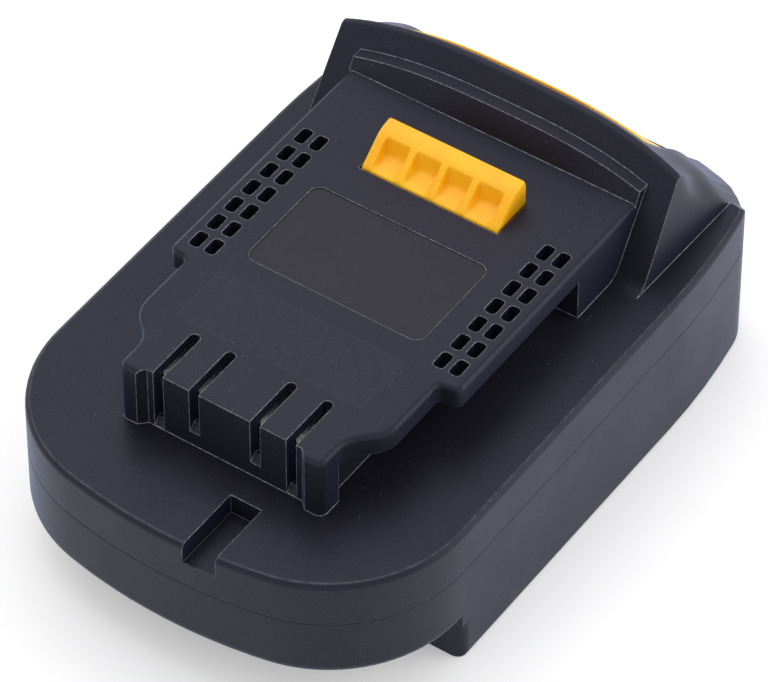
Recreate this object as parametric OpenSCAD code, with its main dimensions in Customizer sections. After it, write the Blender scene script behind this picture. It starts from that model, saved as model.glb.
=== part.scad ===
// Tool battery adapter. The top carries the rails, slots and latch that the tool takes, the underside
// is a bay whose rails take the battery. Millimetres: X across, Y from the terminal face to the button,
// Z up. Every piece is drawn from the terminal face (Y = 0) and the deck (Z = 0); place() then puts the
// middle of the outline at the origin and the feet of the skirts at Z = 0.

/* [Body] */
// Width across the flat sides
body_w = 83.4; // [82:0.2:86]
// Length from the bowed front to the rear wall
body_len = 125.5; // [123:0.5:134]
// Height of the deck above the feet
deck_h = 31.5; // [30:0.5:36]
// Deck down to the split between the housings
split_drop = 9.5; // [9:0.25:10]
// Split down to the inside of the floor
floor_drop = 1.5; // [1.2:0.1:1.8]
// Deck down to the underside of the nose
nose_drop = 22; // [21.5:0.25:24]
// Set-back of the terminal face from the bowed front
setback = 19.5; // [18:0.25:21]
// Radius of the front corners
front_corner_r = 27; // [22:0.5:28]
// Bow of the front beyond the corner circles
front_bow = 1.5; // [1:0.1:2.5]
// Length over which the sides sweep in to the rear wall
side_sweep = 32.5; // [28:0.5:36]
// Radius of that sweep
sweep_r = 140; // [125:1:170]
// Radius of the rear corners
rear_corner_r = 10.5; // [9:0.5:12]
// Housing wall
wall = 2.2; // [2:0.1:2.5]
// Rounding of the deck rim
rim_r = 1.2; // [0.8:0.1:1.5]
// Rounding under the nose
nose_r = 2.25; // [1:0.25:3.5]
// Gap that shows along the split
split_gap = 0.12; // [0.06:0.02:0.3]
// Rounding of both housings along the split
seam_r = 0.25; // [0.1:0.05:0.4]

/* [Rail block] */
// Width over the rail flanges
rail_w = 59.4; // [58:0.2:61]
// Width of the block under the flanges
neck_w = 41.2; // [40:0.2:42]
// Width over the wings between block and flanges
wing_w = 51.6; // [49:0.2:54]
// Height of the plate above the deck
plate_h = 12.7; // [12:0.1:14]
// Skin under the plate's top
plate_t = 2.2; // [1.8:0.1:2.5]
// Thickness of the flanges
flange_t = 4.5; // [3.5:0.1:5]
// Start of the flare from block to wing
flare_start = 3.4; // [2.5:0.1:5]
// Length of the flare
flare_len = 10.1; // [8:0.1:11]
// Front end of the flanges
step_y = 25; // [22:0.25:26]
// Length of the wall that ends the rail grooves
stop_len = 17.5; // [16:0.25:20]
// Rounding along the plate and its flanges
flange_r = 1; // [0.4:0.1:1.2]
// Step of the neck behind the terminal face
neck_step = 1.75; // [1:0.05:2]
// Reach of the two cheeks beside the terminal face
cheek = 1.4; // [0.8:0.1:1.6]
// Half width of the face between the cheeks
cheek_x = 15.7; // [15.4:0.1:16.2]

/* [Terminal slots] */
// Offset of the outer slots
outer_slot_x = 13.5; // [12.8:0.1:14.2]
// Offset of the inner slots
inner_slot_x = 6.2; // [5.6:0.1:6.8]
// Slot width
slot_w = 2; // [1.6:0.1:2.4]
// Slot length
slot_len = 11.3; // [9:0.1:12]
// Depth of the inner slots from the plate
inner_slot_depth = 8.5; // [7:0.1:10]
// Ramp at the foot of each slot
slot_ramp = 1.2; // [0.8:0.1:1.5]

/* [Vents] */
// Offset of the middle of each vent field
vent_x = 25; // [24.6:0.1:25.4]
// Distance between the two columns
vent_column = 3.2; // [2.9:0.1:3.6]
// Middle of the first row
vent_start = 29.7; // [29:0.1:32]
// Distance between rows
vent_pitch = 5.1; // [4.6:0.1:5.3]
// Rows of vents
vent_rows = 7; // [4:1:7]
// Width of a vent
vent_w = 2.2; // [1.8:0.1:2.4]
// Length of a vent
vent_l = 3.8; // [3:0.1:4.1]

/* [Label place] */
// Width of the label panel
label_w = 35.6; // [28:0.2:36]
// Length of the label panel
label_l = 21; // [14:0.2:21.4]
// Distance from the label place to the latch
label_gap = 7.8; // [7:0.1:9]
// Thickness of the label panel
label_t = 0.25; // [0.15:0.05:0.4]
// Depth of the label place
label_depth = 0.4; // [0.3:0.05:0.6]

/* [Key notch] */
// Left side of the notch
notch_x = 5.1; // [3:0.1:7]
// Width of the notch
notch_w = 6.3; // [5:0.1:8]
// Rear wall of the notch
notch_rear = -5.6; // [-8:0.1:-5]
// Depth of the notch
notch_depth = 4.2; // [3.5:0.1:4.6]

/* [Hood] */
// Foot of the hood's face, measured from the rear wall
hood_back = 33.5; // [33:0.1:36]
// Ridge height before it is rounded
hood_h = 21.7; // [21:0.1:23]
// Lean of the hood's face
hood_lean = 32.5; // [30:0.5:35]
// Fall of the slope behind the ridge
hood_fall = 46; // [44:0.5:48]
// Width of the hood at the foot of its face
hood_w = 71; // [69:0.2:73]
// Spread of each flank towards the rear wall
hood_flare = 0.7; // [0:0.1:1.2]
// Draft of each flank up to the ridge
hood_draft = 1.2; // [0.8:0.1:1.8]
// Rounding of the ridge
crest_r = 1.1; // [0.8:0.1:1.4]
// Fall of the ridge from middle to flank
hood_crown = 3.7; // [3:0.1:4]
// Width of each shoulder, where the slope steepens
shoulder_w = 4; // [2:0.25:6]
// Steepening of the slope at the shoulders, degrees
shoulder_fall = 2.5; // [1:0.25:4]
// Blend from the hood's face to the deck
hood_blend = 4; // [2:0.25:6]
// Step of the pad in front of the hood's face
pad_step = 2; // [1.5:0.1:2.5]
// Height of the pad over the plate
pad_h = 4.5; // [3.5:0.1:5]
// Fall of the pad from middle to end
pad_crown = 2.3; // [1:0.1:2.6]

/* [Latch and button] */
// Width of the latch head
latch_w = 28; // [24:0.2:30]
// Length of the latch head
latch_l = 8.7; // [8:0.1:10]
// Rear face of the latch head, measured from the plate's end
latch_back = 10.3; // [9.5:0.1:11.5]
// Rise of the latch head over the plate
latch_rise = 5.5; // [4.5:0.1:6]
// Travel of the latch
latch_travel = 5.7; // [5:0.1:6]
// Width of each pocket in the latch head
pocket_w = 4.9; // [4:0.1:5.2]
// Distance between pockets
pocket_pitch = 6.4; // [5.8:0.1:6.6]
// Gap around the latch head and the button
latch_gap = 0.3; // [0.2:0.05:0.5]
// Width of the press button
button_w = 50; // [44:0.5:54]
// Distance from the ridge to the press button
button_gap = 1.9; // [1.6:0.1:2.2]
// Depth of the button's top edge under the ridge
button_sink = 1.1; // [0.9:0.1:1.5]
// Height of the button's toe over the deck
button_toe = 0.5; // [0.2:0.1:0.8]
// Crown of the button, as a multiple of the ridge's
button_crown = 2.2; // [1.8:0.1:2.4]
// Depth of the rear wall's top under the deck behind the button
rear_lip = 1.5; // [1:0.1:2]
// Offset of each latch spring
spring_x = 9.5; // [8.5:0.1:11]
// Outside diameter of the latch springs
spring_d = 7; // [6:0.1:7.4]
// Wire of the latch springs
spring_wire = 0.7; // [0.5:0.05:0.8]
// Turns of the latch springs
spring_turns = 7; // [5:1:8]

/* [Bay] */
// Thickness of the side skirts
skirt_t = 7.7; // [7.3:0.1:8.3]
// Front end of the skirts
skirt_front = 9; // [9:0.25:11]
// Rounding of the skirts' front corners
skirt_r = 2.2; // [1:0.1:3]
// Floor of the lower housing
floor_t = 2.6; // [2.4:0.1:3]
// Rear face of the nose, where the battery stops
nose_rear = 14.4; // [14.2:0.1:16]
// Reach of the battery rails into the bay
bay_rail = 3.5; // [3:0.1:4.5]
// Height of the battery rails
bay_rail_h = 4; // [3:0.1:5]
// Underside of the battery rails above the feet
bay_rail_lift = 4; // [3:0.1:5]
// Width of the catch pocket
catch_w = 22; // [18:0.5:26]
// Length of the catch pocket
catch_l = 8; // [7:0.1:9]
// Depth of the catch pocket
catch_depth = 5; // [4.2:0.1:5.4]
// Thickness of the catch plate
catch_t = 1; // [0.8:0.1:1.5]

/* [Contacts] */
// Thickness of the fork and blade metal
metal_t = 0.6; // [0.5:0.05:0.8]
// Length of the forks
fork_l = 10; // [8:0.1:10.6]
// Height of the battery blades
blade_h = 4.2; // [3.6:0.1:4.4]
// Reach of the battery blades into the bay
blade_reach = 15; // [12:0.5:18]
// Offset of the power blades
power_x = 12.5; // [11.5:0.1:13]
// Offset of the signal blades
signal_x = 4.2; // [3.6:0.1:5]
// Diameter of the power wires
power_wire = 2.6; // [2:0.1:3]
// Diameter of the signal wires
signal_wire = 1.4; // [1:0.1:1.8]

/* [Board and screws] */
// Width of the circuit board
board_w = 43; // [42:0.5:44]
// Length of the circuit board
board_len = 57; // [50:0.5:58]
// Thickness of the circuit board
board_t = 1.6; // [1:0.1:1.6]
// Height of the board over the floor
board_lift = 3; // [2.8:0.1:3.4]
// Radius of the capacitor
capacitor_r = 4; // [3:0.25:4.5]
// Height of the capacitor
capacitor_h = 11; // [8:0.5:12]
// Radius of the coil
coil_r = 5; // [4:0.25:5.5]
// Width of the regulator chip
chip_w = 10; // [8:0.5:12]
// Length of the regulator chip
chip_l = 6; // [5:0.5:7]
// Offset of the housing screws
screw_x = 26; // [25.6:0.1:26.4]
// Thread diameter of the housing screws
screw_d = 2.9; // [2.5:0.1:3]
// Head diameter of the housing screws
screw_head = 5.4; // [5:0.1:5.6]
// Gap between a screw and its hole
screw_gap = 0.3; // [0.3:0.05:0.5]
// Gap left beside pieces that slip into a place
slip = 0.1; // [0.05:0.05:0.2]

/* [Hidden] */
$fn = 72;
eps = 0.01;

half_w = body_w / 2;
apex_y = -setback;
rear_y = body_len - setback;
mid_y = (apex_y + rear_y) / 2;
feet_z = -deck_h;
upper_z = -split_drop + split_gap / 2;
lower_z = -split_drop - split_gap / 2;
floor_z = lower_z - floor_drop;
ceiling_z = floor_z - floor_t;
nose_floor_z = -nose_drop + wall;

// The front arc touches both corner circles from outside.
corner_x = half_w - front_corner_r;
corner_y = apex_y + front_corner_r + front_bow;
front_r = (corner_x * corner_x + front_bow * (2 * front_corner_r + front_bow)) / (2 * front_bow);
front_ang = asin(corner_x / (front_r - front_corner_r));

// The sweep of each side touches the rear corner circle from outside.
sweep_ang = asin((side_sweep - rear_corner_r) / (sweep_r - rear_corner_r));
rear_x = half_w - sweep_r + (sweep_r - rear_corner_r) * cos(sweep_ang);

rail_half = rail_w / 2;
neck_half = neck_w / 2;
wing_half = wing_w / 2;
flange_z = plate_h - flange_t;
skin_z = plate_h - plate_t;

hood_y = rear_y - hood_back;
ridge_y = hood_y + hood_h * tan(hood_lean);
plate_end = hood_y + plate_h * tan(hood_lean) - pad_step;
stop_y = plate_end - stop_len;
face_in = wall / cos(hood_lean);

latch_y1 = plate_end - latch_back;
latch_y0 = latch_y1 - latch_l;
label_start = latch_y0 - label_gap - label_l;
carrier_half = latch_w / 2 + 1.2;
carrier_top = skin_z - 0.25;
carrier_z = carrier_top - 4.6;
carrier_t = 2.8;
passage_half = carrier_half + 6;
button_y0 = ridge_y + button_gap;
button_y1 = rear_y - wall - 0.5;
button_top = hood_h - button_sink;
spring_y = latch_y1 + 9.5;
spring_top = carrier_z + 1.2;
spring_len = spring_top - floor_z;

fork_y = 3.2;
fork_room = 4.4;
fork_room_y0 = wall;
fork_room_y1 = fork_y + fork_l + 2.2;
board_y = -3;
board_z = floor_z + board_lift;
board_top = board_z + board_t;
base_seat = board_top + 2.1;
base_top = -wall - 0.4;
fuse_y = board_y + board_len * 0.42;
coil_y = board_y + board_len * 0.58;
chip_y = board_y + board_len * 0.81;
coil_x = board_w * 0.21;

holder_y0 = 2.4;
holder_y1 = nose_rear - wall;
holder_half = power_x + 5;
holder_top = ceiling_z - 0.2;
blade_z = nose_floor_z + 0.8;
tail_y = -1.6;
wire_y = -1.5;

skirt_x = half_w - skirt_t;
catch_y0 = ridge_y + 2.33;
catch_top = ceiling_z + catch_depth;
button_z = catch_top + wall + latch_travel + 1.8;
screw_y = [17, stop_y + 5.5];
boss_r = 3.3;
boss_z = floor_z + 2;
seat_z = boss_z - 2.2;
pilot_r = screw_d / 2 + screw_gap;
screw_top = -wall - 1;
stand_y = [20, board_y + board_len - 4];
stand_x = board_w / 2 - 4;

// Moves a piece from the drawing axes to the hand-in frame.
module place() {
  translate([0, -mid_y, deck_h]) children();
}

// Points of the arc that rounds corner b between a and c.
function corner(a, b, c, r, n) =
  let (u = (a - b) / norm(a - b), v = (c - b) / norm(c - b), h = acos(u * v) / 2, w = (u + v) / norm(u + v))
  let (o = b + w * r / sin(h), p = b + u * r / tan(h) - o, q = b + v * r / tan(h) - o)
  let (s = atan2(p.y, p.x), d = atan2(q.y, q.x) - s, t = d > 180 ? d - 360 : d < -180 ? d + 360 : d)
  [for (i = [0:n]) o + r * [cos(s + t * i / n), sin(s + t * i / n)]];

// Outline with some corners rounded; a radius of 0 leaves a corner sharp.
function rounded(pts, radii, n = 6) =
  let (m = len(pts))
  [for (i = [0:m - 1]) each radii[i] == 0 ? [pts[i]]
    : corner(pts[(i + m - 1) % m], pts[i], pts[(i + 1) % m], radii[i], n)];

// Extrudes a Y-Z outline across X, centred.
module across(width) {
  translate([-width / 2, 0, 0]) rotate([90, 0, 90]) linear_extrude(width) children();
}

// Extrudes an X-Z outline along Y.
module along(y0, y1) {
  translate([0, y1, 0]) rotate([90, 0, 0]) linear_extrude(y1 - y0) children();
}

module block(x0, x1, y0, y1, z0, z1) {
  translate([x0, y0, z0]) cube([x1 - x0, y1 - y0, z1 - z0]);
}

module mirrored() {
  children();
  mirror([1, 0, 0]) children();
}

// Points of an arc from one angle to another.
function arc(o, r, a, b, n) = [for (i = [0:n]) o + r * [cos(a + (b - a) * i / n), sin(a + (b - a) * i / n)]];

// A symmetric outline from its right half, which runs from the front to the rear.
function whole(half) = concat(half, [for (i = [len(half) - 1:-1:0]) [-half[i].x, half[i].y]]);

// Plan outline of the adapter: bowed front, large corners, sides that sweep in to the small rear corners.
function outline_half() =
  let (f = arc([0, apex_y + front_r], front_r, -90, front_ang - 90, 15))
  let (c = arc([corner_x, corner_y], front_corner_r, front_ang - 90, 0, 20))
  let (s = arc([half_w - sweep_r, rear_y - side_sweep], sweep_r, 0, sweep_ang, 4))
  let (d = arc([rear_x, rear_y - rear_corner_r], rear_corner_r, sweep_ang, 90, 12))
  concat([for (i = [1:2:13]) f[i]], c, s, [for (i = [1:12]) d[i]]);
plan = whole(outline_half());

// Outline moved inwards by a distance, each corner along its bisector.
function inset(pts, d) =
  let (m = len(pts))
  [for (i = [0:m - 1])
    let (u = pts[i] - pts[(i + m - 1) % m], v = pts[(i + 1) % m] - pts[i])
    let (a = [-u.y, u.x] / norm(u), b = [-v.y, v.x] / norm(v))
    pts[i] + (a + b) * d / (1 + a * b)];

// The adapter's outline as a solid between two heights.
module outline_solid(d, z0, z1) {
  translate([0, 0, z0]) linear_extrude(z1 - z0) polygon(inset(plan, d));
}

// A symmetric plan as a solid with rounded upper and lower rims, skinned ring by ring and closed by strips.
module rimmed_solid(pts, z0, z1, top, low) {
  over = [for (a = top < 0.5 ? [90, 45, 0] : [90:-18:0]) [top * (1 - sin(a)), z1 - top * (1 - cos(a))]];
  under = [for (a = low < 0.5 ? [0, 45, 90] : [0:18:90]) [low * (1 - sin(a)), z0 + low * (1 - cos(a))]];
  rings = concat(under, over);
  n = len(pts);
  m = len(rings);
  points = [for (r = rings) each [for (p = inset(pts, r.x)) [p.x, p.y, r.y]]];
  sides = [for (i = [0:m - 2], k = [0:n - 1])
    [i * n + k, i * n + n + k, i * n + n + (k + 1) % n, i * n + (k + 1) % n]];
  floor = [for (k = [0:n / 2 - 2]) [k, k + 1, n - 2 - k, n - 1 - k]];
  roof = [for (f = floor) [for (i = [3:-1:0]) (m - 1) * n + f[i]]];
  polyhedron(points, concat(floor, sides, roof));
}

// Skins a row of Y-Z outlines that stand at places across, from left to right, all of one length.
module skin_across(places, outlines) {
  n = len(places) - 1;
  m = len(outlines[0]);
  points = [for (k = [0:n]) each [for (p = outlines[k]) [places[k], p.x, p.y]]];
  sides = [for (k = [0:n - 1], i = [0:m - 1]) let (a = k * m + i, b = k * m + (i + 1) % m)
    each [[a, b, b + m], [a, b + m, a + m]]];
  ends = [for (i = [1:m - 2]) each [[m - 1, i, i - 1], [n * m + m - 1, n * m + i - 1, n * m + i]]];
  polyhedron(points, concat(sides, ends));
}

// Drop of the ridge at a place across the hood, and the fall of the slope behind it there.
function crown(x) = hood_crown * min(pow(abs(x) / (hood_w / 2), 3), 1.1);
function fall(x) =
  hood_fall + shoulder_fall * pow(min(max(abs(x) - hood_w / 2 + shoulder_w, 0) / shoulder_w, 1), 2);

// Outline of all that lies under the ridge and its slope at a place across, moved inwards by d.
function under_ridge(x, d) =
  let (t = tan(hood_lean), f = fall(x), far = rear_y + 2, low = feet_z - 5)
  let (top = hood_h - crown(x) - d * (1 / cos(f) + tan(f) / cos(hood_lean)) / (1 + t * tan(f)))
  let (peak = [hood_y + d / cos(hood_lean) + top * t, top], end = [far, top - (far - peak.x) * tan(f)])
  let (crest = d > 0 ? [peak] : corner(peak - [t, 1], peak, end, crest_r, 6))
  concat([[apex_y - 5, low], [apex_y - 5, crest[0].y], crest[0] - [0.05, 0]],
    [for (i = [1:1:len(crest) - 1]) crest[i]], [end, [far, low]]);

module under_hood(d) {
  half = [8, 13, 17, 20.5, 24, 27, 30, 32.5, 34.2, 36, 38, half_w + 1];
  places = concat([for (i = [len(half) - 1:-1:0]) -half[i]], [0], half);
  skin_across(places, [for (x = places) under_ridge(x, d)]);
}

// The space between the two flanks, moved inwards by d.
module between_flanks(d) {
  points = [for (y = [hood_y - 10, rear_y + 1], z = [-wall - 4, hood_h + 3], s = [-1, 1])
    [s * (hood_w / 2 - d + hood_flare * (y - hood_y) / hood_back - hood_draft * z / hood_h), y, z]];
  polyhedron(points, [[0, 2, 3, 1], [5, 7, 6, 4], [4, 6, 2, 0], [1, 3, 7, 5], [1, 5, 4, 0], [2, 6, 7, 3]]);
}

// Hood with its leaning face and drafted flanks, still without ridge and slope.
module hood_block() {
  top = hood_h + 2;
  intersection() {
    across(body_w) polygon(rounded([[hood_y - 9, -1], [hood_y - 9, 0], [hood_y, 0],
      [hood_y + top * tan(hood_lean), top], [rear_y + 1, top], [rear_y + 1, -1]], [0, 0, hood_blend, 0, 0, 0]));
    between_flanks(0);
    outline_solid(0, -1.6, hood_h + 1);
  }
}

module hood_room() {
  foot = hood_y + face_in;
  intersection() {
    across(body_w) polygon([[foot - wall * tan(hood_lean), -wall - eps],
      [foot + hood_h * tan(hood_lean), hood_h], [rear_y, hood_h], [rear_y, -wall - 3], [foot, -wall - 3]]);
    between_flanks(wall);
    outline_solid(wall, -wall - 3.5, hood_h - 1);
  }
}

// Plan of the plate: terminal face, flare of two arcs to the wings, rounded step out to the flanges.
function plate_half() =
  let (h = (wing_half - neck_half) / 2, a = 2 * atan(2 * h / flare_len))
  let (r = (h + flare_len * flare_len / h / 4) / 2)
  let (end = flare_start + flare_len, tail = plate_end + 4)
  let (out = arc([neck_half + r, flare_start], r, 180, 180 - a, 6))
  let (back = arc([wing_half - r, end], r, -a, 0, 6))
  let (dip = corner([wing_half, end], [wing_half, step_y], [rail_half, step_y + 0.4], 1, 4))
  let (tip = corner([wing_half, step_y], [rail_half, step_y + 0.4], [rail_half, tail], flange_r + 0.5, 4))
  concat(face_corner(), out, [for (i = [1:6]) back[i]], dip, tip, [[rail_half, tail]]);

function face_corner() =
  corner([0, -cheek], [neck_half, -cheek], [neck_half, flare_start], flange_r + 0.5, 4);

// Rail block whose terminal face lies back between two cheeks.
module rail_solid() {
  difference() {
    union() {
      rimmed_solid(whole(plate_half()), flange_z, plate_h, flange_r, 0.4);
      translate([0, 0, -1]) linear_extrude(flange_z + 2)
        polygon(whole(concat(face_corner(), [[neck_half, flare_start]])));
      block(-neck_half + neck_step, neck_half - neck_step, flare_start - 1, stop_y + 1, -1, flange_z + 1);
      block(-rail_half, rail_half, stop_y, plate_end + 4, -1, flange_z + 1);
    }
    translate([0, 0, -2]) linear_extrude(plate_h + 4)
      polygon(whole([[cheek_x + cheek + 0.5, -cheek - 0.5], [cheek_x, 0]]));
  }
}

// Raised pad between the plate's end and the hood's face, with a crowned top.
module pad_solid() {
  top = plate_h + pad_h;
  arc = [for (i = [-8:8]) [-i * rail_half / 8, top - pad_crown * pow(abs(i) / 8, 2.8)]];
  intersection() {
    across(rail_w) polygon([[plate_end, plate_h - 1], [plate_end, plate_h],
      [plate_end + (pad_h + 1) * tan(hood_lean - 5), top + 1], [ridge_y - 1, top + 1],
      [ridge_y - 1, plate_h - 1]]);
    along(plate_end - 1, ridge_y) polygon(concat([[-rail_half, 0], [rail_half, 0]], arc));
  }
}

module vents() {
  for (c = [-1, 1], r = [0:vent_rows - 1])
    translate([vent_x + c * vent_column / 2, vent_start + r * vent_pitch, flange_z - 1])
      linear_extrude(flange_t + 2)
        polygon(rounded([[-vent_w / 2, -vent_l / 2], [vent_w / 2, -vent_l / 2], [vent_w / 2, vent_l / 2],
          [-vent_w / 2, vent_l / 2]], [0.7, 0.7, 0.7, 0.7], 4));
}

// Terminal slot, open at the front, with a small ramp where its floor meets the face.
module slot(x, depth) {
  low = plate_h - depth;
  translate([x, 0, low]) linear_extrude(depth + 1) {
    translate([-slot_w / 2, -1]) square([slot_w, slot_len - slot_w / 2 + 1]);
    translate([0, slot_len - slot_w / 2]) circle(slot_w / 2);
  }
  translate([x, 0, low]) across(slot_w) polygon([[-eps, eps], [slot_ramp, eps], [-eps, -slot_ramp]]);
}

module label_plan(grow) {
  w = label_w / 2 + grow;
  translate([0, label_start + label_l / 2])
    polygon(rounded([[-w, -label_l / 2 - grow], [w, -label_l / 2 - grow], [w, label_l / 2 + grow],
      [-w, label_l / 2 + grow]], [2, 2, 2, 2]));
}

module screw_places() {
  for (x = [-screw_x, screw_x], y = screw_y) translate([x, y, 0]) children();
}

module upper_housing() {
  color([0.16, 0.16, 0.19]) place() difference() {
    union() {
      difference() {
        intersection() {
          union() {
            rimmed_solid(plan, upper_z, 0, rim_r, seam_r);
            hood_block();
            rail_solid();
            pad_solid();
          }
          under_hood(0);
        }
        intersection() {
          union() {
            outline_solid(wall, upper_z - 1, -wall);
            hood_room();
          }
          under_hood(wall);
        }
        block(-neck_half + neck_step + wall, neck_half - neck_step - wall, fork_room_y1 + wall, stop_y + 3,
          -wall - 1, skin_z);
        block(-passage_half, passage_half, stop_y + wall, ridge_y + 2, -wall - 1, skin_z);
      }
      intersection() {
        block(notch_x - wall, notch_x + notch_w + wall, apex_y, notch_rear + wall,
          -notch_depth - wall, -wall + 1);
        outline_solid(wall / 2, -notch_depth - wall - 1, 0);
      }
      screw_places() translate([0, 0, boss_z]) cylinder(r = boss_r, h = -wall - boss_z + 0.5);
    }
    screw_places() translate([0, 0, boss_z - 1]) cylinder(r = pilot_r, h = screw_top - boss_z + 1.5);
    for (x = [-outer_slot_x, -inner_slot_x, inner_slot_x, outer_slot_x])
      block(x - fork_room / 2, x + fork_room / 2, fork_room_y0, fork_room_y1, -wall - 1, skin_z);
    for (s = [-1, 1]) {
      slot(s * outer_slot_x, plate_h - slot_ramp - 0.1);
      slot(s * inner_slot_x, inner_slot_depth);
    }
    mirrored() vents();
    block(notch_x, notch_x + notch_w, apex_y - 2, notch_rear, -notch_depth, 2);
    translate([0, 0, plate_h - label_depth]) linear_extrude(2) label_plan(slip);
    block(-latch_w / 2 - latch_gap, latch_w / 2 + latch_gap, latch_y0 - latch_gap, latch_y1 + latch_gap,
      skin_z - 1, plate_h + 1);
    block(-button_w / 2 - latch_gap, button_w / 2 + latch_gap, button_y0 - latch_gap, button_y1 + latch_gap,
      -wall - 2, hood_h);
    block(-button_w / 2 - latch_gap, button_w / 2 + latch_gap, button_y1, rear_y + 1, -rear_lip, hood_h);
  }
}

// Floor and skirts cut from one rimmed block, with the nose joined in front.
module lower_outer() {
  difference() {
    rimmed_solid(plan, feet_z, lower_z, seam_r, 0.8);
    block(-skirt_x, skirt_x, apex_y - 1, rear_y + 1, feet_z - 1, ceiling_z);
    block(-half_w - 1, half_w + 1, apex_y - 1, skirt_front, feet_z - 1, ceiling_z);
    block(-half_w - 1, half_w + 1, apex_y - 1, nose_rear - 3, nose_r - nose_drop + 1, lower_z + 1);
    mirrored() translate([0, 0, feet_z - 1]) linear_extrude(deck_h - nose_drop)
      polygon(concat(arc([half_w - skirt_r, skirt_front + skirt_r], skirt_r, -90, 0, 6),
        [[half_w + 1, skirt_front + skirt_r], [half_w + 1, skirt_front - 1],
        [half_w - skirt_r, skirt_front - 1]]));
  }
  intersection() {
    rimmed_solid(plan, -nose_drop, lower_z, seam_r, nose_r);
    block(-half_w - 1, half_w + 1, apex_y - 1, nose_rear, -nose_drop - 1, lower_z + 1);
  }
  mirrored() along(nose_rear + 4, rear_y - 5) polygon([[skirt_x + 1, feet_z + bay_rail_lift],
    [skirt_x - bay_rail, feet_z + bay_rail_lift],
    [skirt_x - bay_rail, feet_z + bay_rail_lift + bay_rail_h - 1],
    [skirt_x + 1, feet_z + bay_rail_lift + bay_rail_h]]);
}

module lower_rooms() {
  outline_solid(wall, floor_z, lower_z + 1);
  intersection() {
    outline_solid(wall, nose_floor_z, lower_z + 1);
    block(-half_w, half_w, apex_y, holder_y1, nose_floor_z - 1, lower_z + 2);
  }
  intersection() {
    outline_solid(wall, feet_z + wall, lower_z + 1);
    mirrored() block(skirt_x + wall, half_w, skirt_front + wall, rear_y, feet_z, lower_z + 2);
  }
  block(-holder_half + 2, holder_half - 2, holder_y1 - 1, nose_rear + 1, nose_floor_z, ceiling_z);
}

module lower_housing() {
  color([0.17, 0.17, 0.2]) place() difference() {
    union() {
      difference() {
        lower_outer();
        lower_rooms();
      }
      difference() {
        outline_solid(wall + 0.35, floor_z - 0.5, lower_z + 1.4);
        outline_solid(wall + 1.55, floor_z - 1, lower_z + 2);
      }
      screw_places() translate([0, 0, floor_z - 1]) cylinder(r = boss_r, h = boss_z - floor_z + 1);
      block(-catch_w / 2 - wall, catch_w / 2 + wall, catch_y0 - wall, catch_y0 + catch_l + wall,
        ceiling_z + 1, catch_top + wall);
      for (x = [-stand_x, stand_x]) {
        for (y = stand_y) translate([x, y, floor_z - 1]) cylinder(r = 2.5, h = board_lift + 1);
        translate([x + sign(x) * 1.5, -0.5, nose_floor_z - 1])
          cylinder(r = 2, h = board_z - nose_floor_z + 1);
      }
      for (x = [-1, 1]) {
        translate([x * spring_x, spring_y, floor_z - 1]) cylinder(d = spring_d - 2 * spring_wire - 1, h = 6);
        translate([x * (power_x + signal_x) / 2, holder_y0, nose_floor_z]) block(-1.5, 1.5, -2.2, 0, -1, 4);
      }
    }
    screw_places() translate([0, 0, ceiling_z - 1])
      cylinder(d = screw_head + 2 * screw_gap, h = seat_z - ceiling_z + 1);
    screw_places() translate([0, 0, ceiling_z]) cylinder(r = pilot_r, h = boss_z - ceiling_z + 1);
    for (x = [-stand_x, stand_x]) translate([x, stand_y[1], floor_z]) cylinder(r = 1.3, h = 6);
    block(-catch_w / 2, catch_w / 2, catch_y0, catch_y0 + catch_l, ceiling_z - 1, catch_top);
  }
}

// One moulding: latch head, stop flange, carrier under the plate and press button in the hood.
module release_latch() {
  color([0.98, 0.68, 0.12]) place() {
    difference() {
      union() {
        across(latch_w) polygon(rounded([[latch_y0, carrier_z], [latch_y1, carrier_z],
          [latch_y1, plate_h + latch_rise], [latch_y0 + 5.5, plate_h + latch_rise - 0.5],
          [latch_y0, plate_h + 0.3]], [0, 0, 0.5, 1.2, 0]));
        block(-carrier_half, carrier_half, latch_y0 - 1.2, latch_y1 + 1.2, carrier_z, carrier_top);
        block(-carrier_half, carrier_half, latch_y0 - 1.2, button_y0 + 1, carrier_z, carrier_z + carrier_t);
      }
      for (i = [-1.5:1.5])
        block(i * pocket_pitch - pocket_w / 2, i * pocket_pitch + pocket_w / 2, latch_y0 - 1, latch_y0 + 4.9,
          plate_h + 0.4, plate_h + latch_rise + 1);
      for (x = [-spring_x, spring_x]) translate([x, spring_y, carrier_z - 1])
        cylinder(d = spring_d + 0.8, h = spring_top - carrier_z + 1);
    }
    press_button();
  }
}

// Height of the button's face at a place along Y, in the middle of the button.
function press(y) = button_top - (y - button_y0) * (button_top - button_toe) / (button_y1 - button_y0);

// Hollow button with a crowned, sloping face and five grip grooves.
module press_button() {
  places = [for (i = [-8:8]) i * button_w / 16];
  mid = (button_y0 + button_y1) / 2;
  difference() {
    skin_across(places, [for (x = places) [[button_y0, button_z],
      [button_y0, button_top - button_crown * crown(x)], [button_y1, button_toe],
      [button_y1, button_toe - 1.6]]]);
    across(button_w - 12) polygon([[button_y0 + 2, button_z - 4], [button_y0 + 2, press(button_y0 + 2) - 3],
      [button_y1 - 2, press(button_y1 - 2) - 3.3], [button_y1 - 2, button_z - 4]]);
    for (i = [-2:2]) translate([0, mid + i * 1.5, press(mid + i * 1.5)]) rotate([0, 90, 0])
      cylinder(r = 0.5, h = button_w / 2, center = true);
  }
}

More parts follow.
